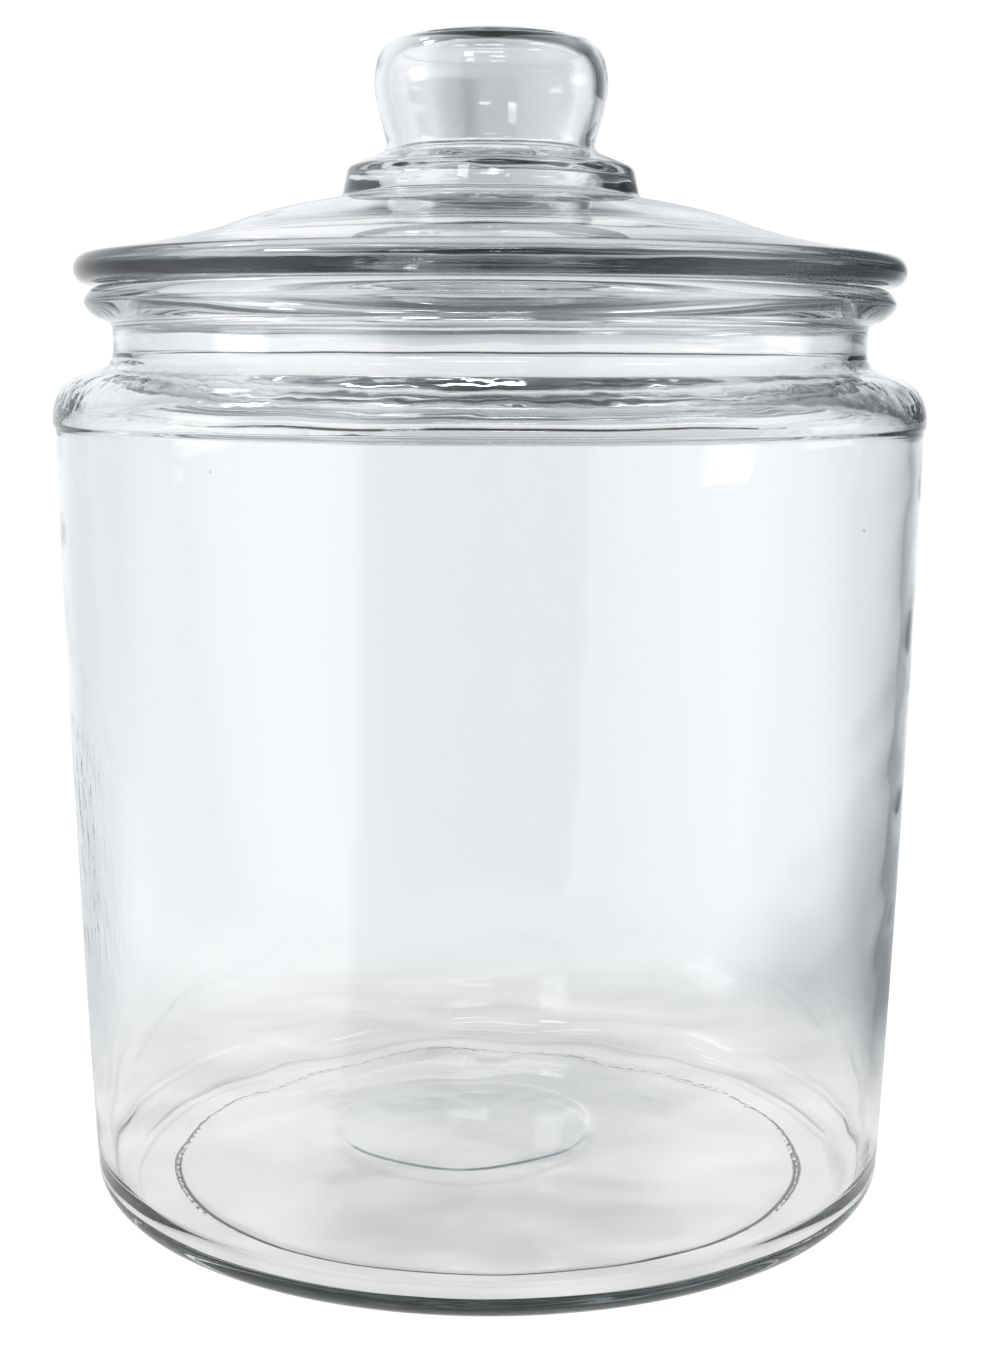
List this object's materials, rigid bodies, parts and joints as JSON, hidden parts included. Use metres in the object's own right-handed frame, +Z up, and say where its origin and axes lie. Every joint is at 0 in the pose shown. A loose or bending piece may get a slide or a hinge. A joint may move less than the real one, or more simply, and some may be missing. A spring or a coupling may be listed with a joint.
{
  "type": "lidded glass storage jar",
  "caption": "Round clear-glass storage jar with a tapered wall, short neck and ridged rim, and a lift-off domed glass lid with a hollow knob.",
  "frame": {"origin": "centre of the ring that the jar stands on, on the jar's axis", "axes": "+Z up along the axis of jar and lid; the part is a solid of revolution, so +X and +Y are alike"},
  "size_m": [0.2326, 0.2326, 0.3124],
  "materials": {
    "jar_glass": "clear soda-lime container glass, fire-polished, very faint grey-green tint at the edges",
    "lid_glass": "clear pressed soda-lime glass, fire-polished, slightly greyer through the thick flange"
  },
  "bodies": {
    "jar": {"jar_body": "jar_glass"},
    "lid": {"lid_with_knob": "lid_glass"}
  },
  "joints": [
    {"name": "lid_lift", "type": "slide", "parent": "jar", "child": "lid", "axis": [0, 0, 1], "range_m": [0, 0.12]}
  ]
}
